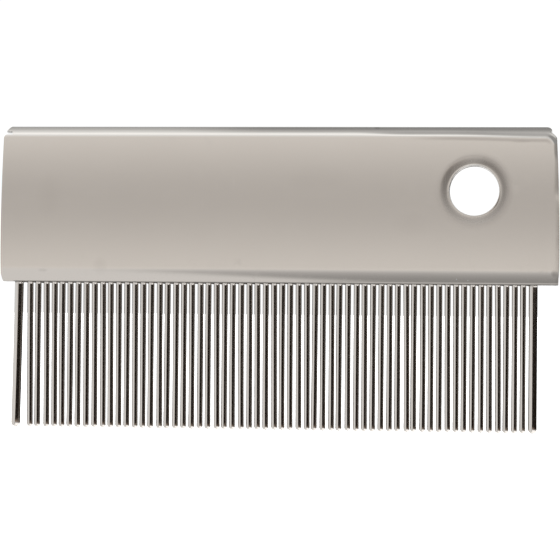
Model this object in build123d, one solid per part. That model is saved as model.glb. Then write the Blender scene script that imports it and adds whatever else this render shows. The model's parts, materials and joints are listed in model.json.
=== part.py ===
from build123d import *
import os
from math import cos, radians, sin

# Flea comb, all metal, millimetres. +Z is up: the spine is at the top and the pins point down.
# X runs along the comb, with the hanging hole towards +X. Y runs through the thickness.
# The origin is on the tip line of the pins, half way along the spine and half way through it.

# Spine: one steel sheet folded over at the top, with both lower lips curved in onto the pins.
SPINE_LENGTH = 80.0
SPINE_HEIGHT = 22.6
SPINE_THICKNESS = 2.8
SHEET = 0.6
LIP_ANGLE = radians(22.0)  # how far each lip has turned in where it meets the pins

# Pins: plain round wire with hemispherical tips.
FINE_PIN_COUNT = 61
FINE_PIN_DIAMETER = 0.86
FINE_PIN_PITCH = 1.18
FIRST_FINE_PIN_X = -35.95
GUARD_PIN_DIAMETER = 1.25
GUARD_PIN_SPACING = 1.53  # from the centre of a guard pin to the centre of the fine pin beside it
PIN_FREE_LENGTH = 20.9
PIN_DEPTH_IN_SPINE = 6.3
PIN_TOP_CHAMFER = 0.12
GUARD_FLAT_BELOW_LIP = 0.15  # the flattened shank of a guard pin starts this far below the lips

# Carrier bar: a drilled strip inside the fold that sets the spacing of the pins.
BAR_HEIGHT = 3.0
BAR_ABOVE_LIP = 2.6
BAR_LENGTH = 77.0

# Solder: fills the mouth of the spine between the lips, round every pin.
SOLDER_LENGTH = 77.0
SOLDER_RECESS = 0.32  # from the lower edge of the lips up to the underside of the solder

# Hanging hole: punched through both walls, each drawn in a little round it by the punch.
HOLE_X = 28.0
HOLE_ABOVE_LIP = 13.35
HOLE_RADIUS = 3.55
DISH_RADIUS = 5.15
DISH_DEPTH = 0.2

# Ends of the sheet: bowed edges, rounded corners and relief notches beside the fold.
# The fold is cut off at a slant at the -X end and rounded at the +X end.
# Depths are measured down from the top of the fold, insets in from the half length.
END_CORNER_INSET = 0.33
END_BOTTOM_INSET = 0.25
END_WIDEST_ABOVE_LIP = 4.5
END_BOTTOM_RADIUS = 0.45
FOLD_INSET_LEFT = 0.75
FOLD_SLANT_WIDTH = 0.65
FOLD_SLANT_HEIGHT = 0.8
NOTCH_INSET_LEFT = 1.58
NOTCH_DEPTH_LEFT = 0.83
SHOULDER_DEPTH_LEFT = 1.36
SHOULDER_RADIUS_LEFT = 0.5
FOLD_INSET_RIGHT = 1.1
FOLD_CORNER_RADIUS = 0.62
NOTCH_INSET_RIGHT = 1.3
NOTCH_DEPTH_RIGHT = 0.66
SHOULDER_DEPTH_RIGHT = 0.9
SHOULDER_RADIUS_RIGHT = 0.9

# Sizes that follow from the ones above.
LIP_Z = PIN_FREE_LENGTH
TOP_Z = LIP_Z + SPINE_HEIGHT
HALF_LENGTH = SPINE_LENGTH / 2
HALF_THICKNESS = SPINE_THICKNESS / 2
HALF_GAP = HALF_THICKNESS - SHEET
FINE_RADIUS = FINE_PIN_DIAMETER / 2
GUARD_RADIUS = GUARD_PIN_DIAMETER / 2
PIN_TOP_Z = LIP_Z + PIN_DEPTH_IN_SPINE
HOLE_Z = LIP_Z + HOLE_ABOVE_LIP
FOLD_CENTRE_Z = TOP_Z - HALF_THICKNESS
LAST_FINE_PIN_X = FIRST_FINE_PIN_X + (FINE_PIN_COUNT - 1) * FINE_PIN_PITCH
GUARD_LEFT_X = FIRST_FINE_PIN_X - GUARD_PIN_SPACING
GUARD_RIGHT_X = LAST_FINE_PIN_X + GUARD_PIN_SPACING
ROW_MIDDLE_X = (GUARD_LEFT_X + GUARD_RIGHT_X) / 2

# Each lip is an arc that starts upright on the wall and ends where its inner face touches the pins.
LIP_RADIUS = (HALF_THICKNESS - FINE_RADIUS - SHEET * cos(LIP_ANGLE)) / (1 - cos(LIP_ANGLE))
LIP_ARC_Y = HALF_THICKNESS - LIP_RADIUS
LIP_ARC_Z = LIP_Z + LIP_RADIUS * sin(LIP_ANGLE)


def lip_point(radius, angle, side):
    """A point (y, z) on a lip arc. The angle is measured down from the level of the arc's centre."""
    return (side * (LIP_ARC_Y + radius * cos(angle)), LIP_ARC_Z - radius * sin(angle))


def sheet_section():
    """Cross-section of the folded sheet, seen along X: an upside-down U whose lips turn in."""
    inner_radius = LIP_RADIUS - SHEET
    with BuildSketch(Plane.YZ) as section:
        with BuildLine():
            for side in (1, -1):
                ThreePointArc(
                    lip_point(LIP_RADIUS, LIP_ANGLE, side),
                    lip_point(LIP_RADIUS, LIP_ANGLE / 2, side),
                    lip_point(LIP_RADIUS, 0, side),
                )
                Line(lip_point(LIP_RADIUS, 0, side), (side * HALF_THICKNESS, FOLD_CENTRE_Z))
                ThreePointArc(
                    lip_point(inner_radius, LIP_ANGLE, side),
                    lip_point(inner_radius, LIP_ANGLE / 2, side),
                    lip_point(inner_radius, 0, side),
                )
                Line(lip_point(inner_radius, 0, side), (side * HALF_GAP, FOLD_CENTRE_Z))
                Line(
                    lip_point(LIP_RADIUS, LIP_ANGLE, side),
                    lip_point(inner_radius, LIP_ANGLE, side),
                )
            for radius in (HALF_THICKNESS, HALF_GAP):
                ThreePointArc(
                    (radius, FOLD_CENTRE_Z),
                    (0, FOLD_CENTRE_Z + radius),
                    (-radius, FOLD_CENTRE_Z),
                )
        make_face()
    return section.sketch


def slanted_fold_end():
    """The -X end of the fold, cut off in a straight line. It ends at the widest point of the fold."""
    fold_x = -HALF_LENGTH + FOLD_INSET_LEFT
    Polyline(
        (0, TOP_Z),
        (fold_x + FOLD_SLANT_WIDTH, TOP_Z),
        (fold_x, TOP_Z - FOLD_SLANT_HEIGHT),
    )
    return (fold_x, TOP_Z - FOLD_SLANT_HEIGHT)


def rounded_fold_end():
    """The +X end of the fold, rounded off. It ends at the widest point of the fold."""
    fold_x = HALF_LENGTH - FOLD_INSET_RIGHT
    turn = sin(radians(45))
    Line((0, TOP_Z), (fold_x - FOLD_CORNER_RADIUS, TOP_Z))
    ThreePointArc(
        (fold_x - FOLD_CORNER_RADIUS, TOP_Z),
        (
            fold_x - FOLD_CORNER_RADIUS * (1 - turn),
            TOP_Z - FOLD_CORNER_RADIUS * (1 - turn),
        ),
        (fold_x, TOP_Z - FOLD_CORNER_RADIUS),
    )
    return (fold_x, TOP_Z - FOLD_CORNER_RADIUS)


def end_edges(side, fold_end, notch_inset, notch_depth, shoulder_depth, shoulder_radius):
    """Lines of one end of the spine's front outline, from the end of the fold to the bottom."""
    notch_x = side * (HALF_LENGTH - notch_inset)
    shoulder_x = side * (HALF_LENGTH - END_CORNER_INSET)
    shoulder_in_x = side * (HALF_LENGTH - END_CORNER_INSET - shoulder_radius)
    bottom_x = side * (HALF_LENGTH - END_BOTTOM_INSET)
    bottom_in_x = side * (HALF_LENGTH - END_BOTTOM_INSET - END_BOTTOM_RADIUS)
    notch_z = TOP_Z - notch_depth
    shoulder_z = TOP_Z - shoulder_depth
    turn = sin(radians(45))
    Polyline(
        fold_end,
        (fold_end[0], notch_z),
        (notch_x, notch_z),
        (notch_x, shoulder_z),
        (shoulder_in_x, shoulder_z),
    )
    ThreePointArc(
        (shoulder_in_x, shoulder_z),
        (
            shoulder_in_x + side * shoulder_radius * turn,
            shoulder_z - shoulder_radius * (1 - turn),
        ),
        (shoulder_x, shoulder_z - shoulder_radius),
    )
    ThreePointArc(
        (shoulder_x, shoulder_z - shoulder_radius),
        (side * HALF_LENGTH, LIP_Z + END_WIDEST_ABOVE_LIP),
        (bottom_x, LIP_Z + END_BOTTOM_RADIUS),
    )
    ThreePointArc(
        (bottom_x, LIP_Z + END_BOTTOM_RADIUS),
        (
            bottom_in_x + side * END_BOTTOM_RADIUS * turn,
            LIP_Z + END_BOTTOM_RADIUS * (1 - turn),
        ),
        (bottom_in_x, LIP_Z),
    )
    Line((bottom_in_x, LIP_Z), (0, LIP_Z))


def front_outline():
    """A block with the outline of the spine seen from the front, deeper than the spine is thick."""
    with BuildSketch(Plane.XZ) as outline:
        with BuildLine():
            end_edges(
                -1,
                slanted_fold_end(),
                NOTCH_INSET_LEFT,
                NOTCH_DEPTH_LEFT,
                SHOULDER_DEPTH_LEFT,
                SHOULDER_RADIUS_LEFT,
            )
            end_edges(
                1,
                rounded_fold_end(),
                NOTCH_INSET_RIGHT,
                NOTCH_DEPTH_RIGHT,
                SHOULDER_DEPTH_RIGHT,
                SHOULDER_RADIUS_RIGHT,
            )
        make_face()
    return extrude(outline.sketch, amount=SPINE_THICKNESS, both=True)


def dish(side):
    """One wall's ring round the hanging hole, sloping in towards the hole in an S-shape."""
    wall_y = side * HALF_GAP
    rim_y = side * (HALF_GAP - DISH_DEPTH)
    with BuildSketch(Plane.XY.offset(HOLE_Z)) as ring:
        with BuildLine():
            for shift in (0, side * SHEET):
                Spline(
                    (HOLE_X + HOLE_RADIUS, rim_y + shift),
                    (HOLE_X + DISH_RADIUS, wall_y + shift),
                    tangents=((1, 0), (1, 0)),
                )
            for x, y in ((HOLE_X + HOLE_RADIUS, rim_y), (HOLE_X + DISH_RADIUS, wall_y)):
                Line((x, y), (x, y + side * SHEET))
        make_face()
    return revolve(ring.sketch, Axis((HOLE_X, 0, HOLE_Z), (0, 1, 0)), 360)


def spine_sheet():
    """The folded sheet, trimmed at both ends and punched for hanging."""
    folded = extrude(sheet_section(), amount=HALF_LENGTH, both=True) & front_outline()
    opening = Pos(HOLE_X, 0, HOLE_Z) * Rot(90, 0, 0) * Cylinder(DISH_RADIUS, 2 * SPINE_THICKNESS)
    return folded - opening + dish(1) + dish(-1)


def round_pin(radius):
    """A straight pin on the Z axis, its hemispherical tip at the origin and its top in the spine."""
    chamfer_z = PIN_TOP_Z - PIN_TOP_CHAMFER
    turn = sin(radians(45))
    with BuildSketch(Plane.XZ) as half:
        with BuildLine():
            ThreePointArc((0, 0), (radius * turn, radius * (1 - turn)), (radius, radius))
            Polyline(
                (radius, radius),
                (radius, chamfer_z),
                (radius - PIN_TOP_CHAMFER, PIN_TOP_Z),
                (0, PIN_TOP_Z),
                (0, 0),
            )
        make_face()
    return revolve(half.sketch, Axis.Z, 360)


def fine_pin(number):
    """Fine pin by number, 1 at the -X end."""
    return Pos(FIRST_FINE_PIN_X + (number - 1) * FINE_PIN_PITCH, 0, 0) * round_pin(FINE_RADIUS)


def guard_pin(x):
    """A thicker end pin, pressed flat inside the spine to the thickness of the fine pins."""
    flat_start_z = LIP_Z - GUARD_FLAT_BELOW_LIP
    flat_height = PIN_TOP_Z - flat_start_z
    beside = GUARD_PIN_DIAMETER
    pin = round_pin(GUARD_RADIUS)
    for side in (1, -1):
        waste = Box(2 * beside, beside, flat_height)
        pin -= Pos(0, side * (FINE_RADIUS + beside / 2), flat_start_z + flat_height / 2) * waste
    return Pos(x, 0, 0) * pin


def carrier_bar(pins):
    """The drilled strip held between the walls of the spine, with a close-fitting hole per pin."""
    centre_z = LIP_Z + BAR_ABOVE_LIP + BAR_HEIGHT / 2
    strip = Pos(ROW_MIDDLE_X, 0, centre_z) * Box(BAR_LENGTH, 2 * HALF_GAP, BAR_HEIGHT)
    return strip - pins


def solder_seam(pins):
    """Solder round the pins, from the carrier bar down to the mouth of the spine."""
    inner_radius = LIP_RADIUS - SHEET
    top_z = LIP_Z + BAR_ABOVE_LIP
    low_z = LIP_Z + SOLDER_RECESS
    with BuildSketch(Plane.YZ) as section:
        with BuildLine():
            for side in (1, -1):
                Line((0, top_z), (side * HALF_GAP, top_z))
                Line((side * HALF_GAP, top_z), lip_point(inner_radius, 0, side))
                ThreePointArc(
                    lip_point(inner_radius, 0, side),
                    lip_point(inner_radius, LIP_ANGLE / 2, side),
                    lip_point(inner_radius, LIP_ANGLE, side),
                )
                Line(lip_point(inner_radius, LIP_ANGLE, side), (0, low_z))
        make_face()
    strip = Pos(ROW_MIDDLE_X, 0, 0) * extrude(section.sketch, amount=SOLDER_LENGTH / 2, both=True)
    return strip - pins


def write(shape, node):
    """Writes one named node."""
    export_step(shape, f"parts/{node}.step")


os.makedirs("parts", exist_ok=True)
fine_pins = {number: fine_pin(number) for number in range(1, FINE_PIN_COUNT + 1)}
guard_left = guard_pin(GUARD_LEFT_X)
guard_right = guard_pin(GUARD_RIGHT_X)
all_pins = [guard_left, *fine_pins.values(), guard_right]

write(spine_sheet(), "spine_sheet")
write(carrier_bar(all_pins), "pin_carrier_bar")
write(solder_seam(all_pins), "solder_seam")
write(guard_left, "guard_pin_left")
write(guard_right, "guard_pin_right")

# Fine pins go out in neighbouring pairs, each pin its own solid, with the middle pin by itself.
middle = (FINE_PIN_COUNT + 1) // 2
write(fine_pins[middle], f"fine_pin_{middle}")
pair_starts = [*range(1, middle, 2), *range(middle + 1, FINE_PIN_COUNT, 2)]
for first in pair_starts:
    pair = Compound(children=[fine_pins[first], fine_pins[first + 1]])
    write(pair, f"fine_pins_{first:02d}_{first + 1:02d}")
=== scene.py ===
import json
import math
import random

import bmesh
import bpy
from mathutils import Matrix, Vector


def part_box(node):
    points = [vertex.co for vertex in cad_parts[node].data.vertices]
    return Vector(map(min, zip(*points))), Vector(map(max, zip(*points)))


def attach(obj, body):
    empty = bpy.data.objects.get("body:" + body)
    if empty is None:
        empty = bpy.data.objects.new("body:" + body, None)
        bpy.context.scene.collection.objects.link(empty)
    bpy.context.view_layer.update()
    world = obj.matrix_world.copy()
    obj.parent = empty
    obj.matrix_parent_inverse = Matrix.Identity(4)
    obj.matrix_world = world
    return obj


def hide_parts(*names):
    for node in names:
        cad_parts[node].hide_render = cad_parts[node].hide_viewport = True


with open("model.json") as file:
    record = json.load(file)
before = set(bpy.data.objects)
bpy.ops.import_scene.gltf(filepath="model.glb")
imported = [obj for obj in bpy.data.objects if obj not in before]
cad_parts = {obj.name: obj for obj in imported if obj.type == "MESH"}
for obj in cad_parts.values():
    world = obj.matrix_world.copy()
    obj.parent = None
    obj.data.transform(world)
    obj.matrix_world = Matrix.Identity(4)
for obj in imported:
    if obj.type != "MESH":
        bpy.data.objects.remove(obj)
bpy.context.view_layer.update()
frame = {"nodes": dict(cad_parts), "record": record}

MM = 0.001

# ---------------------------------------------------------------- sizes read from the frame, in mm
SPINE_LOW, SPINE_HIGH = (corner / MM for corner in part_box("spine_sheet"))
HALF_LENGTH = SPINE_HIGH.x
LIP_Z = SPINE_LOW.z
TOP_Z = SPINE_HIGH.z
HALF_THICKNESS = SPINE_HIGH.y
HOLE_X, _, HOLE_Z = (value / MM for value in frame["record"]["mounts"][0]["pos_m"])

SHEET = 0.6
FINE_RADIUS = 0.43
GUARD_RADIUS = 0.625
FINE_COUNT = 61
FINE_PITCH = 1.18
FIRST_FINE_X = -35.95
GUARD_SPACING = 1.53
PIN_TOP_Z = LIP_Z + 6.3
LIP_ANGLE = math.radians(22.0)
HOLE_RADIUS = 3.55
HOLE_RIM_RADIUS = 3.75
DISH_RADIUS = 5.05
DISH_DEPTH = 0.07
RIM_BURR = 0.08  # slope of the raised edge the punch left

LIP_RADIUS = (HALF_THICKNESS - FINE_RADIUS - SHEET * math.cos(LIP_ANGLE)) / (1 - math.cos(LIP_ANGLE))
LIP_HEIGHT = LIP_RADIUS * math.sin(LIP_ANGLE)
LIP_ARC_Z = LIP_Z + LIP_HEIGHT
FOLD_CENTRE_Z = TOP_Z - HALF_THICKNESS
LIP_LENGTH = LIP_RADIUS * LIP_ANGLE
WALL_LENGTH = FOLD_CENTRE_Z - LIP_ARC_Z
FOLD_LENGTH = HALF_THICKNESS * math.pi
HALF_PROFILE = LIP_LENGTH + WALL_LENGTH + FOLD_LENGTH / 2


def smooth(low, high, value):
    """0 below low, 1 above high, and an S-shaped step between them. It also falls, when high is less."""
    t = min(1.0, max(0.0, (value - low) / (high - low)))
    return t * t * (3 - 2 * t)


def mesh_object(name, build):
    """A smooth-shaded mesh object, in metres, from a function that fills a bmesh in millimetres."""
    bm = bmesh.new()
    build(bm)
    bmesh.ops.recalc_face_normals(bm, faces=bm.faces)
    bmesh.ops.scale(bm, vec=(MM, MM, MM), verts=bm.verts)
    mesh = bpy.data.meshes.new(name)
    bm.to_mesh(mesh)
    bm.free()
    for face in mesh.polygons:
        face.use_smooth = True
    made = bpy.data.objects.new(name, mesh)
    bpy.context.scene.collection.objects.link(made)
    return made


# ---------------------------------------------------------------- spine sheet
# The sheet is laid out flat as (x, s). s runs along the outside of its profile: from the front lip at
# -HALF_PROFILE, up the front wall, over the fold at 0, and down the back wall to +HALF_PROFILE.


def profile(s):
    """Point (y, z) and outward normal (y, z) of the plain outer profile at s."""
    side = -1 if s < 0 else 1
    down = abs(s)
    if down <= FOLD_LENGTH / 2:
        angle = down / HALF_THICKNESS
        normal = (side * math.sin(angle), math.cos(angle))
        return (HALF_THICKNESS * normal[0], FOLD_CENTRE_Z + HALF_THICKNESS * normal[1]), normal
    down -= FOLD_LENGTH / 2
    if down <= WALL_LENGTH:
        return (side * HALF_THICKNESS, FOLD_CENTRE_Z - down), (side, 0.0)
    angle = (down - WALL_LENGTH) / LIP_RADIUS
    normal = (side * math.cos(angle), -math.sin(angle))
    centre_y = side * (HALF_THICKNESS - LIP_RADIUS)
    return (centre_y + LIP_RADIUS * normal[0], LIP_ARC_Z + LIP_RADIUS * normal[1]), normal


LEFT, RIGHT = -1, 1
# each end: inset of the fold, inset and top of the notch (front, back), top and radius of the shoulder
ENDS = {
    LEFT: {"fold": 0.75, "notch": 1.58, "top": (0.83, 0.58), "shoulder": 1.36, "radius": 0.45, "cut": 0.3},
    RIGHT: {"fold": 1.1, "notch": 1.3, "top": (0.66, 0.66), "shoulder": 0.96, "radius": 0.8, "cut": 0.7},
}
CORNER_INSET = {LEFT: 0.34, RIGHT: 0.42}
END_WIDEST_Z = LIP_Z + 4.5
END_TAPER_BELOW_TOP = 1.8  # the ends draw in from their widest up to this far below the top
END_FOOT_INSET = 0.1
END_FOOT_RADIUS = 0.12
LEFT_FOOT_INSET, LEFT_FOOT_HEIGHT = 0.24, 1.15  # the left end draws in further near its foot
SLANT_INSET, SLANT_DROP = 0.58, 0.8  # the slanted cut at the left end of the fold
FOLD_CORNER_RADIUS = 0.66  # the rounded corner at the right end of the fold

CROWN = 0.12  # how far the middle of the front wall stands out
LIP_CURL_SLOPE = 0.13
LIP_CURL_BLEND = 0.1  # flat distance over which the curl starts
SHOULDER_LINE_END = 1.0  # distance of the break in the front wall from the right end
SHOULDER_TURN = 1.0  # radius of the corner of that break
SHOULDER_WIDTH = 0.68
SIDE_BLEND = 0.35

BLOCK = 6.0  # half the side of the square of mesh round the hanging hole
BLOCK_STEPS = 24
ROW_GAP = 0.025  # flat distance between the two rows at a step in the cut ends
END_ZONE = 3.2  # the cut shape of an end is worked into this much of the sheet


def fold_corner(drop, end):
    """How much further in the fold's end lies near its top: slanted on the left, round on the right."""
    if end == LEFT:
        return SLANT_INSET * max(0.0, 1 - drop / SLANT_DROP)
    radius = FOLD_CORNER_RADIUS
    across = min(radius, max(0.0, radius - drop))
    return 1.2 * (radius - math.sqrt(radius**2 - across**2)) + 0.1 * across


def end_inset(s, z, end):
    """How far the cut end lies inside the half length, at flat position s and height z."""
    shape = ENDS[end]
    drop = TOP_Z - z
    top = shape["top"][0 if s < 0 else 1]
    if drop <= top:
        return shape["fold"] + fold_corner(drop, end)
    if drop <= shape["shoulder"]:
        return shape["notch"]
    up = max(0.0, z - END_WIDEST_Z) / (TOP_Z - END_TAPER_BELOW_TOP - END_WIDEST_Z)
    down = max(0.0, END_WIDEST_Z - z) / (END_WIDEST_Z - LIP_Z)
    inset = CORNER_INSET[end] * up**2 + END_FOOT_INSET * down**2
    if end == LEFT:
        inset += LEFT_FOOT_INSET * (max(0.0, LIP_Z + LEFT_FOOT_HEIGHT - z) / LEFT_FOOT_HEIGHT) ** 1.4
    radius = shape["radius"]
    across = min(radius, max(0.0, z - (TOP_Z - shape["shoulder"] - radius)))
    rounded = radius - math.sqrt(radius**2 - across**2)
    inset += rounded + shape["cut"] * (across - rounded)
    foot = END_FOOT_RADIUS
    across = min(foot, max(0.0, LIP_Z + foot - z))
    return inset + foot - math.sqrt(foot**2 - across**2)


def crown_offset(z, amount):
    """The walls are pressed very slightly barrel-shaped."""
    middle = (LIP_Z + TOP_Z) / 2 - 0.2
    half = (TOP_Z - LIP_Z) / 2
    return -amount * min(1.0, abs(z - middle) / half) ** 2


def side_slope(z):
    """How steeply the front wall rolls back at its right end, by height."""
    up = z - LIP_Z
    return 0.08 * smooth(11.6, 13.4, up) + 0.09 * smooth(17.4, 19.4, up)


def shoulder_offset(x, z):
    """How far the front wall breaks back under the fold at the right. The break runs round the corner."""
    near = smooth(11.0, 19.0, x)
    if near == 0.0:
        return 0.0
    line_top = 1.5 + 0.28 * smooth(24.0, 38.5, x)
    px = SHOULDER_TURN + SHOULDER_LINE_END - (HALF_LENGTH - x)
    pz = SHOULDER_TURN + line_top - (TOP_Z - z)
    if px > 0 and pz > 0:
        reach = math.hypot(px, pz)
        share = (pz / reach) ** 2
    else:
        reach = max(px, pz)
        share = 1.0 if pz > px else 0.0
    past = reach - SHOULDER_TURN
    over = (0.11 + 0.05 * smooth(26.0, 38.0, x)) * smooth(0.0, SHOULDER_WIDTH, past)
    rolled = max(0.0, past) ** 2 / (2 * SIDE_BLEND) if past < SIDE_BLEND else past - SIDE_BLEND / 2
    beside = side_slope(z) * rolled
    ripple = 0.0075 * smooth(17.0, 26.0, x) * smooth(-0.66, -0.12, past)
    return near * (share * over + (1 - share) * beside) - ripple


def surface_offset(x, z, s):
    """How far the real surface stands out from the plain profile, negative inwards."""
    front = crown_offset(z, CROWN) - 0.045 * smooth(1.67, 0.72, TOP_Z - z)
    back = crown_offset(z, 0.2 * CROWN)
    past = max(0.0, 0.3 + 0.1 * smooth(3.0, 12.0, x) - (HALF_PROFILE - abs(s)))
    turned = past**2 / (2 * LIP_CURL_BLEND) if past < LIP_CURL_BLEND else past - LIP_CURL_BLEND / 2
    curl = LIP_CURL_SLOPE * turned
    return front + (back - front) * smooth(-0.2, 2.4, s) - curl


def dish_depth(dx, dz):
    """How far the sheet is drawn in at this place from the centre of the hole: most above the hole."""
    radius = math.hypot(dx, dz)
    if radius > DISH_RADIUS:
        return 0.0
    around = 0.35 + 0.65 * smooth(-0.9, 0.5, dz / radius)
    burr = RIM_BURR * max(0.0, HOLE_RIM_RADIUS - radius)
    return DISH_DEPTH * around * (1 - smooth(HOLE_RIM_RADIUS, DISH_RADIUS, radius)) - burr


def on_sheet(x, s, left_inset, right_inset):
    """The 3-D point of the outer surface at flat position (x, s)."""
    if x < 0:
        x += left_inset * smooth(HALF_LENGTH - END_ZONE, HALF_LENGTH, -x)
    else:
        x -= right_inset * smooth(HALF_LENGTH - END_ZONE, HALF_LENGTH, x)
    (y, z), normal = profile(s)
    out = surface_offset(x, z, s)
    out -= dish_depth(x - HOLE_X, z - HOLE_Z)
    inwards = shoulder_offset(x, z) * smooth(2.4, -0.2, s)
    return Vector((x, y + out * normal[0] + inwards, z + out * normal[1]))


def rows_between(low, high, step):
    """Evenly spaced values from low up to, but not including, high, about a step apart."""
    count = max(1, round((high - low) / step))
    return [low + (high - low) * i / count for i in range(count)]


def fold_s(drop):
    """Flat distance from the top of the fold to the line this far below it."""
    return HALF_THICKNESS * math.acos(1 - drop / HALF_THICKNESS)


def side_rows(half):
    """Rows of one wall (0 front, 1 back) as values of |s|, doubled where a notch starts or stops."""
    fold = FOLD_LENGTH / 2
    steps = sorted(
        {fold_s(drop) for end in ENDS.values() for drop in (end["top"][half], end["shoulder"])}
    )
    side = []
    low = 0.0
    for step in steps:
        side += rows_between(low, step, 0.11) + [step]
        low = step + ROW_GAP
    side += rows_between(low, fold + 1.5, 0.1)
    hole_low = FOLD_CENTRE_Z + fold - (HOLE_Z - BLOCK)
    hole_high = FOLD_CENTRE_Z + fold - (HOLE_Z + BLOCK)
    side += rows_between(fold + 1.5, hole_high, 0.2)
    side += rows_between(hole_high, hole_low, 2 * BLOCK / BLOCK_STEPS)
    side += rows_between(hole_low, fold + WALL_LENGTH, 0.3)
    side += rows_between(fold + WALL_LENGTH, HALF_PROFILE - 0.4, 0.12)
    side += rows_between(HALF_PROFILE - 0.4, HALF_PROFILE, 0.06)
    return side + [HALF_PROFILE], (hole_high, hole_low)


def flat_rows():
    """Values of s for the rows of the mesh, from the front lip over the fold to the back lip."""
    front, hole_rows = side_rows(0)
    back, _ = side_rows(1)
    return [-s for s in reversed(front[1:])] + back, hole_rows


def flat_columns():
    """Values of x for the columns of the mesh, closest together at the ends and round the hole."""
    columns = rows_between(-HALF_LENGTH, -HALF_LENGTH + 0.4, 0.05)
    columns += rows_between(-HALF_LENGTH + 0.4, -HALF_LENGTH + 3.4, 0.15)
    columns += rows_between(-HALF_LENGTH + 3.4, HOLE_X - BLOCK, 0.6)
    columns += rows_between(HOLE_X - BLOCK, HOLE_X + BLOCK, 2 * BLOCK / BLOCK_STEPS)
    columns += rows_between(HOLE_X + BLOCK, HALF_LENGTH - 3.4, 0.3)
    columns += rows_between(HALF_LENGTH - 3.4, HALF_LENGTH - 0.4, 0.12)
    columns += rows_between(HALF_LENGTH - 0.4, HALF_LENGTH, 0.05)
    columns.append(HALF_LENGTH)
    return columns


def build_spine(bm):
    """The outer skin of the folded sheet: a grid with a block of rings round the hole in each wall."""
    rows, (hole_high, hole_low) = flat_rows()
    columns = flat_columns()
    grid = {}
    for r, s in enumerate(rows):
        (_, z), _ = profile(s)
        # a row that lies on a step belongs to the part above it
        left, right = end_inset(s, z + 0.002, LEFT), end_inset(s, z + 0.002, RIGHT)
        for c, x in enumerate(columns):
            grid[r, c] = (x, s, left, right)
    verts = {}

    def vert(r, c):
        if (r, c) not in verts:
            verts[r, c] = bm.verts.new(on_sheet(*grid[r, c]))
        return verts[r, c]

    def in_block(r, c):
        x = (columns[c] + columns[c + 1]) / 2
        down = abs((rows[r] + rows[r + 1]) / 2)
        return abs(x - HOLE_X) < BLOCK and hole_high < down < hole_low

    blocks = {-1: [], 1: []}
    for r in range(len(rows) - 1):
        for c in range(len(columns) - 1):
            if in_block(r, c):
                blocks[-1 if rows[r] < -1 else 1].append((r, c))
                continue
            bm.faces.new((vert(r, c), vert(r, c + 1), vert(r + 1, c + 1), vert(r + 1, c)))
    for side, cells in blocks.items():
        ring_block(bm, cells, vert, grid, side)


def ring_block(bm, cells, vert, grid, side):
    """Fills one square block with rings of faces that run from its border to the round hole."""
    r0 = min(r for r, _ in cells)
    r1 = max(r for r, _ in cells) + 1
    c0 = min(c for _, c in cells)
    c1 = max(c for _, c in cells) + 1
    border = [(r0, c) for c in range(c0, c1)] + [(r, c1) for r in range(r0, r1)]
    border += [(r1, c) for c in range(c1, c0, -1)] + [(r, c0) for r in range(r1, r0, -1)]
    outer = [vert(r, c) for r, c in border]
    flat = []
    for key in border:
        x, s = grid[key][:2]
        (_, z), _ = profile(s)
        flat.append((x - HOLE_X, z - HOLE_Z))
    steps = 26
    previous = outer
    for k in range(1, steps + 1):
        t = k / steps
        ring = []
        for dx, dz in flat:
            far = math.hypot(dx, dz)
            ux, uz = dx / far, dz / far
            # even angles on the circle would twist the border, so each ray keeps its own angle
            reach = far + (HOLE_RADIUS - far) * t**0.8
            x, z = HOLE_X + ux * reach, HOLE_Z + uz * reach
            s = side * (FOLD_LENGTH / 2 + FOLD_CENTRE_Z - z)
            ring.append(bm.verts.new(on_sheet(x, s, 0.0, 0.0)))
        for i in range(len(ring)):
            j = (i + 1) % len(ring)
            bm.faces.new((previous[i], previous[j], ring[j], ring[i]))
        previous = ring


spine = mesh_object("spine_visual", build_spine)


def add_modifier(obj, kind, name, **values):
    modifier = obj.modifiers.new(name, kind)
    for key, value in values.items():
        setattr(modifier, key, value)
    return modifier


# the rim takes the sheet's second material, the bare sheared metal
add_modifier(
    spine, "SOLIDIFY", "sheet thickness", thickness=SHEET * MM, offset=-1, use_even_offset=False,
    material_offset_rim=1,
)
add_modifier(
    spine, "BEVEL", "sheared edges", width=0.07 * MM, segments=2, limit_method="ANGLE",
    angle_limit=math.radians(55), harden_normals=False,
)

# ---------------------------------------------------------------- pins
DRAW = random.Random(41)
OVAL = 0.06  # the wire is very slightly oval
COLLAR_ANGLE = math.radians(-52)
COLLAR_REACH = 0.13
COLLAR_GAPS = (0.27, 0.24, 0.21, 0.18, 0.15, 0.12, 0.09, 0.06, 0.03, 0.0)
TIP_ROWS = 8
PIN_SHIFT = 0.11  # the fine pins stand this much nearer to the hole than they do in the CAD
PIN_LEAN, MOST_LEAN = 0.05, 0.13


def pin_rows(radius):
    """(distance up from the tip, radius) along a pin, tip first."""
    rows = []
    for i in range(1, TIP_ROWS + 1):
        angle = math.pi / 2 * i / TIP_ROWS
        rows.append((radius * (1 - math.cos(angle)), radius * math.sin(angle)))
    for up in rows_between(radius + 0.9, LIP_Z - 0.75, 1.15):
        rows.append((up, radius))
    # a collar of solder climbs a little way down the pin from the mouth of the spine
    for gap in (0.8, 0.4, *COLLAR_GAPS, -0.1):
        rows.append((LIP_Z - gap, radius))
    rows.append((LIP_Z + 0.5, radius))
    rows.append((PIN_TOP_Z, radius))
    return rows


def collar(x, up, angle):
    """How far the solder on a pin stands out from the wire, mostly on one side of its front."""
    around = max(0.0, math.cos(angle - COLLAR_ANGLE)) ** 4
    gap = LIP_Z - up - 0.04 * smooth(10.0, -10.0, x)
    return COLLAR_REACH * smooth(0.21, 0.01, gap) * smooth(-0.5, 0.0, gap) * around


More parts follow.
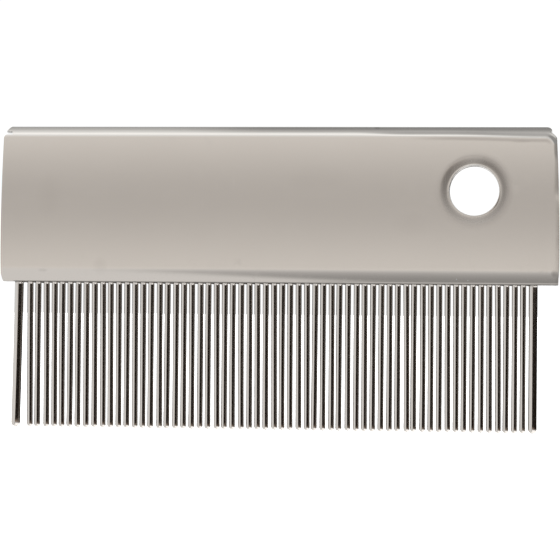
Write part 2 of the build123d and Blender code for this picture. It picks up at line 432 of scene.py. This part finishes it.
def build_pin(x, radius, lean, bow, turn, guard=False, drop=0.0):
    """A function that fills a bmesh with one pin. lean and bow are sideways moves of its tip and middle."""
    around = 28

    def centre(up):
        below = max(0.0, LIP_Z - up) / LIP_Z
        arch = 4 * below * (1 - below)
        side = lean[0] * below + bow[0] * arch
        depth = lean[1] * below + bow[1] * arch
        return Vector((x + side, depth, up + drop * below))

    def fill(bm):
        tip = bm.verts.new(centre(0.0))
        previous = None
        for up, r in pin_rows(radius):
            middle = centre(up)
            ring = []
            # the shank of a guard pin is flattened, to fit between the lips
            flattened = guard and up > LIP_Z - 0.05
            squeeze = FINE_RADIUS / GUARD_RADIUS if flattened else 1.0
            for i in range(around):
                a = turn + 2 * math.pi * i / around
                reach = r * (1 + OVAL * math.cos(2 * a - math.pi / 2)) + collar(x, up, a)
                spoke = Vector((reach * math.cos(a), squeeze * reach * math.sin(a), 0))
                ring.append(bm.verts.new(middle + spoke))
            for i in range(around):
                j = (i + 1) % around
                if previous is None:
                    bm.faces.new((tip, ring[j], ring[i]))
                else:
                    bm.faces.new((previous[i], previous[j], ring[j], ring[i]))
            previous = ring
        bm.faces.new(list(reversed(previous)))

    return fill


pins = {}


def make_pin(number, x, radius, lean, bow, guard=False, drop=0.0):
    """Pin 0 is the left guard pin, the fine pins follow, and the right guard pin comes last."""
    name = f"pin_{number:02d}" if not guard else f"guard_{'left' if number == 0 else 'right'}"
    pins[number] = mesh_object(name, build_pin(x, radius, lean, bow, DRAW.uniform(0, 0.2), guard, drop))


first_x = FIRST_FINE_X - GUARD_SPACING
last_x = FIRST_FINE_X + (FINE_COUNT - 1) * FINE_PITCH + GUARD_SPACING
make_pin(0, first_x, GUARD_RADIUS, (-0.36, 0.0), (0.02, 0.0), guard=True)
for number in range(1, FINE_COUNT + 1):
    x = FIRST_FINE_X + (number - 1) * FINE_PITCH
    x += PIN_SHIFT + DRAW.gauss(0, 0.02)
    lean = (PIN_LEAN + max(-MOST_LEAN, min(MOST_LEAN, DRAW.gauss(0, 0.055))), DRAW.gauss(0, 0.04))
    bow = (DRAW.gauss(0, 0.015), DRAW.gauss(0, 0.01))
    make_pin(number, x, FINE_RADIUS, lean, bow, drop=abs(DRAW.gauss(0, 0.03)))
make_pin(FINE_COUNT + 1, last_x, GUARD_RADIUS, (0.02, 0.0), (0.0, 0.0), guard=True)

# ---------------------------------------------------------------- solder in the mouth of the spine
SOLDER_PAST_GUARD = 1.55
SOLDER_STEP = 0.085
SOLDER_ACROSS = 10
SOLDER_TOP_Z = LIP_Z + 2.55


def build_solder(bm):
    """A strip between the lips whose underside sags into a small meniscus against every pin."""
    low_x, high_x = first_x - SOLDER_PAST_GUARD, last_x + SOLDER_PAST_GUARD
    centres = [(first_x, GUARD_RADIUS), (last_x, GUARD_RADIUS)]
    centres += [(FIRST_FINE_X + i * FINE_PITCH, FINE_RADIUS) for i in range(FINE_COUNT)]
    centres.sort()
    inner = LIP_RADIUS - SHEET
    arc_y = HALF_THICKNESS - LIP_RADIUS
    angle = LIP_ANGLE * 0.97
    edge_y = arc_y + (inner + 0.02) * math.cos(angle)
    edge_z = LIP_ARC_Z - inner * math.sin(angle)
    count = int((high_x - low_x) / SOLDER_STEP)
    rings = []
    for i in range(count + 1):
        x = low_x + (high_x - low_x) * i / count
        near = min(max(0.0, abs(x - c) - r) for c, r in centres)
        low_z = LIP_Z - 0.02 - 0.07 * smooth(10.0, -10.0, x) - 0.05 * math.exp(-near / 0.12)
        low_z += 0.025 * math.sin(x * 1.7) + 0.02 * math.sin(x * 4.3 + 1.0)
        past_guard = max(low_x + SOLDER_PAST_GUARD - x, x - high_x + SOLDER_PAST_GUARD)
        low_z += 0.25 * smooth(0.4, 0.62, past_guard)
        ring = []
        for j in range(SOLDER_ACROSS + 1):
            t = 2 * j / SOLDER_ACROSS - 1
            ring.append(bm.verts.new((x, t * edge_y, edge_z + (low_z - edge_z) * (1 - t**4))))
        for y in (HALF_THICKNESS - SHEET, SHEET - HALF_THICKNESS):
            ring.append(bm.verts.new((x, y, SOLDER_TOP_Z)))
        rings.append(ring)
    for a, b in zip(rings, rings[1:]):
        for j in range(len(a)):
            k = (j + 1) % len(a)
            bm.faces.new((a[j], a[k], b[k], b[j]))
    bm.faces.new(rings[0])
    bm.faces.new(list(reversed(rings[-1])))


solder = mesh_object("solder_visual", build_solder)

# ---------------------------------------------------------------- materials


class Nodes:
    """Short calls for building one material's node tree."""

    def __init__(self, name):
        self.material = bpy.data.materials.new(name)
        self.material.use_nodes = True
        self.tree = self.material.node_tree
        self.shader = self.tree.nodes["Principled BSDF"]

    def add(self, kind, **settings):
        node = self.tree.nodes.new(kind)
        inputs = settings.pop("inputs", {})
        for key, value in settings.items():
            setattr(node, key, value)
        for key, value in inputs.items():
            self.put(node.inputs[key], value)
        return node

    def put(self, socket, value):
        if isinstance(value, bpy.types.NodeSocket):
            self.tree.links.new(value, socket)
        else:
            socket.default_value = value

    def place(self, scale):
        coordinate = self.add("ShaderNodeTexCoord")
        mapping = self.add("ShaderNodeMapping", inputs={"Scale": scale})
        self.tree.links.new(coordinate.outputs["Object"], mapping.inputs["Vector"])
        return mapping.outputs["Vector"]

    def noise(self, scale, amount=1.0, detail=4.0, rough=0.55):
        node = self.add(
            "ShaderNodeTexNoise",
            inputs={"Vector": self.place(scale), "Scale": amount, "Detail": detail, "Roughness": rough},
        )
        return node.outputs["Fac"]

    def ramp(self, value, stops):
        node = self.add("ShaderNodeValToRGB", inputs={"Fac": value})
        elements = node.color_ramp.elements
        elements[0].position, elements[1].position = stops[0][0], stops[-1][0]
        elements[0].color, elements[1].color = stops[0][1], stops[-1][1]
        for position, colour in stops[1:-1]:
            elements.new(position).color = colour
        return node.outputs["Color"]

    def maths(self, operation, a, b=0.0, clamp=False):
        node = self.add("ShaderNodeMath", operation=operation, use_clamp=clamp)
        self.put(node.inputs[0], a)
        self.put(node.inputs[1], b)
        return node.outputs[0]

    def mix(self, factor, a, b):
        node = self.add("ShaderNodeMix", data_type="RGBA")
        self.put(node.inputs["Factor"], factor)
        self.put(node.inputs["A"], a)
        self.put(node.inputs["B"], b)
        return node.outputs["Result"]

    def hole_shade_ring(self):
        """1 on the ring of painted shade round the hanging hole, which stands in for the dark reflection of
        the drawn-in sheet there, and how far round it a place is (sine, cosine).
        """
        coordinate = self.add("ShaderNodeTexCoord").outputs["Object"]
        x, _, z = self.add("ShaderNodeSeparateXYZ", inputs={"Vector": coordinate}).outputs
        dx = self.maths("SUBTRACT", self.maths("DIVIDE", x, MM), HOLE_X)
        dz = self.maths("SUBTRACT", self.maths("DIVIDE", z, MM), HOLE_Z)
        squares = self.maths("ADD", self.maths("MULTIPLY", dx, dx), self.maths("MULTIPLY", dz, dz))
        radius = self.maths("SQRT", squares)
        sine, cosine = self.maths("DIVIDE", dz, radius), self.maths("DIVIDE", dx, radius)
        # the ring hugs the hole more closely at its upper left
        shift = self.maths("MULTIPLY", self.lobe(sine, cosine, 130, 2), 0.34)
        shift = self.maths("MULTIPLY", shift, self.step(radius, 3.7, 4.0))
        radius = self.maths("ADD", radius, shift)
        ring = self.along(radius, HOLE_SHADE_STRENGTH)
        return ring, sine, cosine

    def between(self, value, low, high, most=1.0, smoothed=False):
        """0 at low and the given most at high, straight or S-shaped in between."""
        node = self.add(
            "ShaderNodeMapRange",
            interpolation_type="SMOOTHSTEP" if smoothed else "LINEAR",
            inputs={"Value": value, "From Min": low, "From Max": high, "To Max": most},
        )
        return node.outputs["Result"]

    def step(self, value, low, high):
        """0 below low, 1 above high, and an S-shaped step between them. It also falls, when high is less."""
        return self.between(value, low, high, smoothed=True)

    def along(self, value, points):
        """Grey that follows a list of (value, brightness)."""
        low, high = points[0][0], points[-1][0]
        place = self.between(value, low, high)
        return self.ramp(place, [((at - low) / (high - low), grey(bright)) for at, bright in points])

    def lobe(self, sine, cosine, angle, sharpness):
        """1 in one direction round the hole, falling off to both sides."""
        along = self.maths("MULTIPLY", sine, math.sin(math.radians(angle)))
        across = self.maths("MULTIPLY", cosine, math.cos(math.radians(angle)))
        along = self.maths("ADD", along, across, clamp=True)
        return self.maths("POWER", along, sharpness)

    def spot(self, x, z, half_width, half_height):
        """A soft round or oval spot on the sheet, 1 in its middle."""
        coordinate = self.add("ShaderNodeTexCoord").outputs["Object"]
        place = self.add("ShaderNodeSeparateXYZ", inputs={"Vector": coordinate}).outputs
        squares = 0.0
        for value, middle, half in ((place[0], x, half_width), (place[2], z, half_height)):
            reach = self.maths("DIVIDE", self.maths("SUBTRACT", value, middle * MM), half * MM)
            squares = self.maths("ADD", self.maths("MULTIPLY", reach, reach), squares)
        return self.maths("SUBTRACT", 1.0, squares, clamp=True)

    def lip_edge_shade(self):
        """Painted shade in a wavy line along the lower edges of the lips, standing in for the shaded gap
        under them; 1 at the edge.
        """
        coordinate = self.add("ShaderNodeTexCoord").outputs["Object"]
        place = self.add("ShaderNodeSeparateXYZ", inputs={"Vector": coordinate}).outputs
        wave = self.maths("MULTIPLY", self.noise((1500, 0, 0)), 0.08)
        height = self.maths("SUBTRACT", self.maths("DIVIDE", place[2], MM), LIP_Z - 0.04)
        height = self.maths("SUBTRACT", height, wave)
        line = self.between(height, 0.21, 0.13, most=0.85)
        # it fades to a faint line past the left guard pin
        bare_end = self.maths("MULTIPLY", self.between(place[0], -38.3 * MM, -37.9 * MM), 0.85)
        return self.maths("MULTIPLY", line, self.maths("ADD", bare_end, 0.15))

    def painted_end_shade(self):
        """Painted shade in a thin brownish band along the right-hand end of the sheet, standing in for the
        dark reflection of its rolled edge; strongest at its very edge.
        """
        coordinate = self.add("ShaderNodeTexCoord").outputs["Object"]
        x = self.add("ShaderNodeSeparateXYZ", inputs={"Vector": coordinate}).outputs[0]
        start, stop = (HALF_LENGTH - 0.75) * MM, (HALF_LENGTH - 0.1) * MM
        end_shade_band = self.between(x, start, stop, most=0.48, smoothed=True)
        patchy = self.ramp(self.noise((600, 600, 600), 1.0, 2.0, 0.5), [(0.3, grey(0.45)), (0.7, grey(1.0))])
        return self.maths("MULTIPLY", end_shade_band, patchy)

    def edge_wear(self, radius):
        """About 1 on sharp edges and 0 on open faces."""
        bevel = self.add("ShaderNodeBevel", samples=4, inputs={"Radius": radius})
        geometry = self.add("ShaderNodeNewGeometry")
        dot = self.add("ShaderNodeVectorMath", operation="DOT_PRODUCT")
        self.tree.links.new(bevel.outputs["Normal"], dot.inputs[0])
        self.tree.links.new(geometry.outputs["Normal"], dot.inputs[1])
        return self.maths("MULTIPLY", self.maths("SUBTRACT", 1.0, dot.outputs["Value"]), 6.0, clamp=True)

    def bump(self, height, distance, strength=1.0):
        node = self.add(
            "ShaderNodeBump", inputs={"Height": height, "Distance": distance, "Strength": strength}
        )
        return node.outputs["Normal"]


def grey(value):
    return (value, value, value, 1.0)


def plated_metal(name, tint, dark_tint, rough_low, rough_high, grain_scale, bump_size, painted_shade_and_marks=False):
    """Polished plating over steel: faint drawn grain, handling scratches, smudges and worn edges."""
    n = Nodes(name)
    grain = n.noise(grain_scale, 1.0, 5.0, 0.6)
    cloud = n.noise((90, 90, 90), 1.0, 3.0, 0.5)
    smudge = n.noise((260, 260, 260), 1.0, 6.0, 0.65)
    scratch = n.noise((4200, 4200, 160), 1.0, 2.0, 0.5)
    lines = n.ramp(scratch, [(0.0, grey(0)), (0.66, grey(0)), (0.70, grey(1)), (1.0, grey(1))])
    stain = n.ramp(smudge, [(0.0, grey(0)), (0.62, grey(0)), (0.74, grey(1)), (1.0, grey(1))])
    wear = n.edge_wear(0.00018)
    base = n.mix(cloud, (*tint, 1.0), tuple(0.96 * t for t in tint) + (1.0,))
    base = n.mix(n.maths("MULTIPLY", stain, 0.05), base, (*dark_tint, 1.0))
    base = n.mix(n.maths("MULTIPLY", wear, 0.18), base, WORN_TINT)
    rough = n.maths("MULTIPLY", grain, rough_high - rough_low)
    rough = n.maths("ADD", rough, rough_low)
    # only the sheet gets the painted shade below, with the smudges and flecks
    if painted_shade_and_marks:
        ring, sine, cosine = n.hole_shade_ring()
        around = n.maths("ADD", n.maths("MULTIPLY", sine, 0.07), 0.93)
        around = n.maths("ADD", around, n.maths("MULTIPLY", cosine, 0.06))
        sine_squared = n.maths("MULTIPLY", sine, sine)
        around = n.maths("SUBTRACT", around, n.maths("MULTIPLY", sine_squared, 0.36))
        for angle, sharpness, strength in HOLE_SHADE_LOBES:
            lobe = n.lobe(sine, cosine, angle, sharpness)
            around = n.maths("ADD", around, n.maths("MULTIPLY", lobe, strength), clamp=True)
        # painted shade round the hanging hole, heavier in some directions round it
        base = n.mix(n.maths("MULTIPLY", ring, around), base, SHADE_AND_SMUDGE_TINT)
        # painted shade along the right-hand end of the sheet
        base = n.mix(n.painted_end_shade(), base, SHADE_AND_SMUDGE_TINT)
        # painted shade along the lower edges of the lips
        base = n.mix(n.lip_edge_shade(), base, LIP_SHADE_TINT)
        # smudges, and one patch of painted shade under the top-right highlight
        for x, z, half_width, half_height, strength in SMUDGES_AND_SHADE_PATCH:
            spot = n.maths("MULTIPLY", n.spot(x, z, half_width, half_height), strength)
            base = n.mix(n.maths("MULTIPLY", spot, smudge), base, SHADE_AND_SMUDGE_TINT)
        for x, z in SPECKS:
            base = n.mix(n.spot(x, z, SPECK_RADIUS, SPECK_RADIUS), base, SPECK_TINT)
        rough = n.maths("ADD", rough, n.maths("MULTIPLY", ring, 0.2))
    n.put(n.shader.inputs["Base Color"], base)
    n.shader.inputs["Metallic"].default_value = 1.0
    rough = n.maths("ADD", rough, n.maths("MULTIPLY", stain, 0.05))
    rough = n.maths("ADD", rough, n.maths("MULTIPLY", lines, 0.04))
    n.put(n.shader.inputs["Roughness"], rough)
    height = n.maths("ADD", n.maths("MULTIPLY", grain, 0.4), n.maths("MULTIPLY", cloud, 0.6))
    height = n.maths("SUBTRACT", height, n.maths("MULTIPLY", lines, 0.3))
    n.put(n.shader.inputs["Normal"], n.bump(height, bump_size))
    return n.material


def solder_metal():
    """Soft solder under the plating: a duller, slightly lumpy grey, kept nearly black as painted shade for
    the shaded gap under the lips.
    """
    n = Nodes("solder")
    lumps = n.noise((1400, 1400, 1400), 1.0, 4.0, 0.6)
    # near-black grey: painted shade for the shaded gap in the mouth of the spine
    colour = n.ramp(lumps, [(0.3, (0.07, 0.06, 0.05, 1)), (0.75, (0.20, 0.18, 0.16, 1))])
    n.put(n.shader.inputs["Base Color"], colour)
    n.shader.inputs["Metallic"].default_value = 1.0
    n.put(n.shader.inputs["Roughness"], n.maths("ADD", n.maths("MULTIPLY", lumps, 0.2), 0.35))
    n.put(n.shader.inputs["Normal"], n.bump(lumps, 0.00004))
    return n.material


def brass():
    """Drilled brass strip with drawn lines along its length and a dull brown tarnish."""
    n = Nodes("brass")
    drawn = n.noise((60, 5200, 5200), 1.0, 3.0, 0.6)
    tarnish = n.noise((500, 500, 500), 1.0, 5.0, 0.6)
    colour = n.mix(tarnish, (0.78, 0.58, 0.28, 1.0), (0.48, 0.33, 0.15, 1.0))
    n.put(n.shader.inputs["Base Color"], colour)
    n.shader.inputs["Metallic"].default_value = 1.0
    n.put(n.shader.inputs["Roughness"], n.maths("ADD", n.maths("MULTIPLY", drawn, 0.2), 0.2))
    n.put(n.shader.inputs["Normal"], n.bump(drawn, 0.00001))
    return n.material


# colour of the painted shade round the hole and along the right end, and of the smudges
SHADE_AND_SMUDGE_TINT = (0.30, 0.265, 0.235, 1.0)
# colour of the painted shade along the lower edges of the lips
LIP_SHADE_TINT = (0.12, 0.11, 0.10, 1.0)
SPECK_TINT = (1.0, 0.98, 0.95, 1.0)
WORN_TINT = (0.50, 0.44, 0.38, 1.0)
STAIN_TINT = (0.36, 0.32, 0.28)
SPECK_RADIUS = 0.12
# painted shade round the hanging hole, standing in for the dark reflection there: distance from the centre of
# the hole (mm) and strength
HOLE_SHADE_STRENGTH = [
    (3.4, 0.1), (3.72, 0.14), (3.8, 0.3), (4.0, 0.88), (4.2, 1.0), (4.45, 0.92), (4.8, 0.6), (5.1, 0.3),
    (5.5, 0.08), (5.8, 0.0),
]
# where the painted shade round the hole is heavier or lighter: direction from the hole (degrees), sharpness
# and strength
HOLE_SHADE_LOBES = [(62, 10, 0.3), (130, 3, 0.12), (92, 16, -0.12)]
# finger smudges and dull patches, one of them, at (34.5, 41.2), painted shade under the highlight at the top
# right: x, z, half width, half height (mm) and strength
SMUDGES_AND_SHADE_PATCH = [
    (-33.8, 22.6, 0.8, 0.3, 0.4), (-25.4, 23.2, 1.2, 1.5, 0.16), (-33.0, 33.5, 2.0, 3.5, 0.08),
    (39.3, 22.6, 0.5, 0.6, 0.8), (14.2, 43.2, 0.5, 0.3, 0.8), (34.5, 41.2, 1.6, 0.25, 0.3),
    (6.0, 36.0, 5.0, 2.0, 0.08), (19.0, 29.5, 3.0, 2.0, 0.08),
]
SPECKS = [(25.6, 21.7), (27.2, 21.55)]  # small bright flecks at the lip: x, z

SHEET_METAL = plated_metal(
    "plated_sheet", (0.735, 0.672, 0.608), STAIN_TINT, 0.06, 0.11, (120, 5200, 5200), 0.0000006, painted_shade_and_marks=True
)
PIN_METAL = plated_metal(
    "plated_pin", (0.76, 0.70, 0.64), STAIN_TINT, 0.05, 0.12, (3200, 3200, 150), 0.0000010
)
SHEARED_METAL = plated_metal(
    "sheared_edge", (0.97, 0.95, 0.92), (0.6, 0.56, 0.52), 0.42, 0.55, (900, 900, 300), 0.0000015
)

spine.data.materials.append(SHEET_METAL)
spine.data.materials.append(SHEARED_METAL)
solder.data.materials.append(solder_metal())
for pin in pins.values():
    pin.data.materials.append(PIN_METAL)
bar = frame["nodes"]["pin_carrier_bar"]
if not bar.material_slots:
    bar.data.materials.append(None)
bar_metal = brass()
for material_slot in bar.material_slots:
    material_slot.link = "OBJECT"
    material_slot.material = bar_metal

# ---------------------------------------------------------------- what stands for what
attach(spine, "root")
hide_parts("spine_sheet")
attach(solder, "root")
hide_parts("solder_seam")
middle = (FINE_COUNT + 1) // 2
for number, pin in pins.items():
    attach(pin, "root")
    if number == 0:
        node = "guard_pin_left"
    elif number == FINE_COUNT + 1:
        node = "guard_pin_right"
    elif number == middle:
        node = f"fine_pin_{middle}"
    else:
        below = number if number < middle else number - 1
        first = number if below % 2 else number - 1
        node = f"fine_pins_{first:02d}_{first + 1:02d}"
    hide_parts(node)

# ---------------------------------------------------------------- floor, light and camera


FLOOR_RADIUS = 3.0
FLOOR_BELOW_TIPS = 0.0004


def floor():
    """A plain pale disc just under the tips, which the metal doesn't reflect."""
    bm = bmesh.new()
    bmesh.ops.create_circle(bm, cap_ends=True, segments=96, radius=FLOOR_RADIUS)
    mesh = bpy.data.meshes.new("floor")
    bm.to_mesh(mesh)
    bm.free()
    made = bpy.data.objects.new("floor", mesh)
    made.location.z = -FLOOR_BELOW_TIPS
    bpy.context.scene.collection.objects.link(made)
    n = Nodes("pale_floor")
    n.shader.inputs["Base Color"].default_value = (0.92, 0.92, 0.92, 1.0)
    n.shader.inputs["Roughness"].default_value = 0.9
    n.shader.inputs["Specular IOR Level"].default_value = 0.0
    mesh.materials.append(n.material)
    made.visible_glossy = False


floor()


def linear(tone):
    """Scene brightness of an 8-bit display tone."""
    c = tone / 255
    return c / 12.92 if c <= 0.04045 else ((c + 0.055) / 1.055) ** 2.4


class Sky(Nodes):
    """The studio round the object: white to the eye, and broad soft panels in reflections."""

    def __init__(self):
        world = bpy.data.worlds.new("studio")
        bpy.context.scene.world = world
        world.use_nodes = True
        self.tree = world.node_tree
        self.tree.nodes.clear()

    def curve(self, value, points):
        """Brightness along a list of (angle, display tone)."""
        return self.along(value, [(angle, linear(tone) / REFLECT) for angle, tone in points])

    def dimmed(self, value, amount):
        """The value with this share of it taken away."""
        return self.maths("MULTIPLY", value, self.maths("SUBTRACT", 1.0, amount))

    def blend(self, factor, a, b):
        node = self.add("ShaderNodeMix", data_type="FLOAT")
        self.put(node.inputs["Factor"], factor)
        self.put(node.inputs["A"], a)
        self.put(node.inputs["B"], b)
        return node.outputs["Result"]


REFLECT = 0.70  # about what the plating gives back
TONES = {"left": 200, "dark_low": 16, "dark_high": 138, "table": 252, "table_left": 200, "table_right": 176}
PIN_EDGE = 3.5  # degrees to the right at which the dark side begins
CAMERA_LIGHT, DIFFUSE_LIGHT = 1.05, 2.3
BOUNCE_LOSS = 0.6

# Brightness of the studio, given as the display tone that it makes in the metal. All of it was set until the
# metal's tones agreed with the photo's.
# The face stands between two soft panels, one low and one high: tone, the turn at which the panel's
# edge begins, and the turn at which it is at full strength, in degrees.
BETWEEN_PANELS = 168
LOW_PANEL = (201, 2.7, -2.2)
HIGH_PANEL = (208, 3.0, 7.8)
# The light round the rest of the comb: turn and tone. 0 is the front, 90 straight up, 180 the back.
ROUND_LEFT = [
    (-180, 240), (-150, 240), (-130, 245), (-120, 240), (-50, 200), (-4, 200), (8, 208), (14, 232),
    (22, 247), (33, 246), (45, 223), (74, 190), (90, 176), (130, 165), (150, 150), (172, 165), (180, 210),
]
ROUND_RIGHT = [
    (-180, 240), (-171, 190), (-150, 100), (-130, 130), (-120, 180), (-60, 160), (-44, 138), (-37, 133),
    (-29, 138), (-20, 150), (-12, 166), (-6, 188), (-2, 199), (8, 204), (12, 224), (17, 244), (30, 243),
    (39, 222), (49, 186), (61, 170), (76, 152), (92, 138), (110, 128), (132, 150), (150, 146), (172, 165),
    (180, 210),
]


def studio():
    """Builds the world. Its brightness in reflections changes with direction, and never with the camera."""
    w = Sky()
    direction = w.add("ShaderNodeTexCoord").outputs["Generated"]
    x, y, z = w.add("ShaderNodeSeparateXYZ", inputs={"Vector": direction}).outputs
    degrees = 180 / math.pi
    # side: how far to the left (-) or right (+). turn: the angle round the X axis, from the front upwards
    side = w.maths("MULTIPLY", w.maths("ARCSINE", x), degrees)
    turn = w.maths("MULTIPLY", w.maths("ARCTAN2", z, w.maths("MULTIPLY", y, -1.0)), degrees)
    face = linear(BETWEEN_PANELS) / REFLECT
    for tone, edge, full in (LOW_PANEL, HIGH_PANEL):
        face = w.blend(w.step(turn, edge, full), face, linear(tone) / REFLECT)
    round_left = w.curve(turn, ROUND_LEFT)
    round_right = w.curve(turn, ROUND_RIGHT)
    # the border between the two: upright above, slanted below the face
    slant = w.maths("MULTIPLY", w.maths("MINIMUM", w.maths("ADD", turn, 12.0), 3.0), -0.19)
    border = w.maths("MAXIMUM", w.maths("SUBTRACT", slant, 9.0), -9.4)
    border = w.maths("MINIMUM", border, -4.5)
    border = w.blend(w.step(turn, 20.0, 40.0), border, -7.5)
    past = w.maths("SUBTRACT", side, border)
    value = w.blend(w.step(past, -1.3, 1.3), round_left, round_right)
    level = w.maths("MULTIPLY", w.step(turn, -4.0, -2.8), w.step(turn, 8.0, 6.8))
    value = w.blend(level, value, face)
    # the strip of light above dims at the far right
    dim = w.maths("MULTIPLY", w.step(side, -1.8, 1.0), w.maths("MULTIPLY", w.step(turn, 8.0, 12.0), 0.36))
    value = w.dimmed(value, w.maths("MULTIPLY", dim, w.step(turn, 55.0, 40.0)))
    far_right = w.maths("MULTIPLY", w.step(side, -1.8, -0.7), w.step(turn, 42.0, 54.0))
    far_right = w.maths("MULTIPLY", far_right, w.step(turn, 92.0, 78.0))
    value = w.dimmed(value, w.maths("MULTIPLY", far_right, 0.13))
    # the dark side, on the right: deepest below eye level, and weaker above it
    azimuth = w.maths("MULTIPLY", w.maths("ARCTAN2", x, w.maths("MULTIPLY", y, -1.0)), degrees)
    height = w.maths("MULTIPLY", w.maths("ARCSINE", z), degrees)
    lift = w.step(height, 0.8, 3.2)
    inner = w.step(azimuth, PIN_EDGE - 1.0, PIN_EDGE + 1.0)
    outer = w.step(azimuth, 5.0, 15.0)
    dark = w.maths("MULTIPLY", w.blend(lift, inner, outer), w.step(azimuth, 181.0, 179.0))
    dark = w.maths("MULTIPLY", dark, w.step(height, 70.0, 35.0))
    dark = w.maths("MULTIPLY", dark, w.step(height, -11.0, -6.0))
    tone = w.blend(lift, linear(TONES["dark_low"]) / REFLECT, linear(TONES["dark_high"]) / REFLECT)
    value = w.blend(dark, value, tone)
    # an even light on the left, and a bright table under everything
    left = w.maths("MULTIPLY", w.step(side, -16.0, -30.0), w.step(height, 12.0, 4.0))
    value = w.blend(left, value, linear(TONES["left"]) / REFLECT)
    table_left, table_right = (linear(TONES[key]) / REFLECT for key in ("table_left", "table_right"))
    near_table = w.blend(w.step(side, -9.0, -5.5), table_left, table_right)
    value = w.blend(w.step(height, -46.0, -54.0), value, near_table)
    under = w.maths("MULTIPLY", w.step(side, 4.0, 12.0), w.step(height, -16.0, -26.0))
    under = w.maths("MAXIMUM", under, w.step(height, -68.0, -74.0))
    value = w.blend(under, value, linear(TONES["table"]) / REFLECT)
    # not physical: light that has gone back and forth between the pins comes back weak
    path = w.add("ShaderNodeLightPath")
    bounced = w.step(path.outputs["Ray Depth"], 2.2, 2.8)
    value = w.dimmed(value, w.maths("MULTIPLY", bounced, BOUNCE_LOSS))
    # not physical either: the eye and diffuse light each see one plain brightness of their own
    plain = w.blend(path.outputs["Is Camera Ray"], DIFFUSE_LIGHT, CAMERA_LIGHT)
    value = w.blend(path.outputs["Is Glossy Ray"], plain, value)
    # the light is plain where it falls on the face, cooler round about, and warm on the dark side
    near_face = w.maths("MULTIPLY", w.step(turn, -8.0, -1.0), w.step(turn, 11.0, 6.0))
    near_face = w.maths("MULTIPLY", near_face, w.step(side, -28.0, -16.0))
    colour = w.mix(w.step(turn, -8.0, 8.0), (0.975, 1.0, 1.03, 1.0), (0.945, 1.0, 1.05, 1.0))
    colour = w.mix(near_face, colour, (1.0, 1.0, 1.0, 1.0))
    colour = w.mix(w.maths("MULTIPLY", dark, w.maths("SUBTRACT", 1.0, lift)), colour, (1.35, 0.96, 0.68, 1.0))
    colour = w.mix(path.outputs["Is Glossy Ray"], (1.0, 1.0, 1.0, 1.0), colour)
    background = w.add("ShaderNodeBackground", inputs={"Color": colour, "Strength": value})
    output = w.add("ShaderNodeOutputWorld")
    w.tree.links.new(background.outputs[0], output.inputs["Surface"])


studio()


CAMERA_TURNS = (5.974, 0.54, 0.497)  # yaw, pitch and roll, in degrees
CAMERA_DISTANCE = 329.43
CAMERA_TARGET = (0.411, 0.0, 21.434)
LENS, SENSOR_WIDTH = 148.191429, 36.0


def camera():
    """Looks a little to the left of straight at the front, from about a third of a metre."""
    data = bpy.data.cameras.new("camera")
    made = bpy.data.objects.new("camera", data)
    bpy.context.scene.collection.objects.link(made)
    yaw, pitch, roll = (math.radians(angle) for angle in CAMERA_TURNS)
    target = Vector(CAMERA_TARGET) * MM
    turn = Matrix.Rotation(yaw, 3, "Z") @ Matrix.Rotation(pitch, 3, "X")
    right, up, ahead = turn @ Vector((1, 0, 0)), turn @ Vector((0, 0, 1)), turn @ Vector((0, 1, 0))
    right, up = (
        math.cos(roll) * right + math.sin(roll) * up,
        -math.sin(roll) * right + math.cos(roll) * up,
    )
    data.sensor_width = SENSOR_WIDTH
    data.lens = LENS
    made.matrix_world = Matrix.Translation(target - CAMERA_DISTANCE * MM * ahead) @ Matrix(
        (right, up, -ahead)
    ).transposed().to_4x4()
    data.clip_start, data.clip_end = 0.01, 20.0
    bpy.context.scene.camera = made


camera()
bpy.context.scene.view_settings.view_transform = "Standard"
bpy.context.scene.view_settings.look = "None"
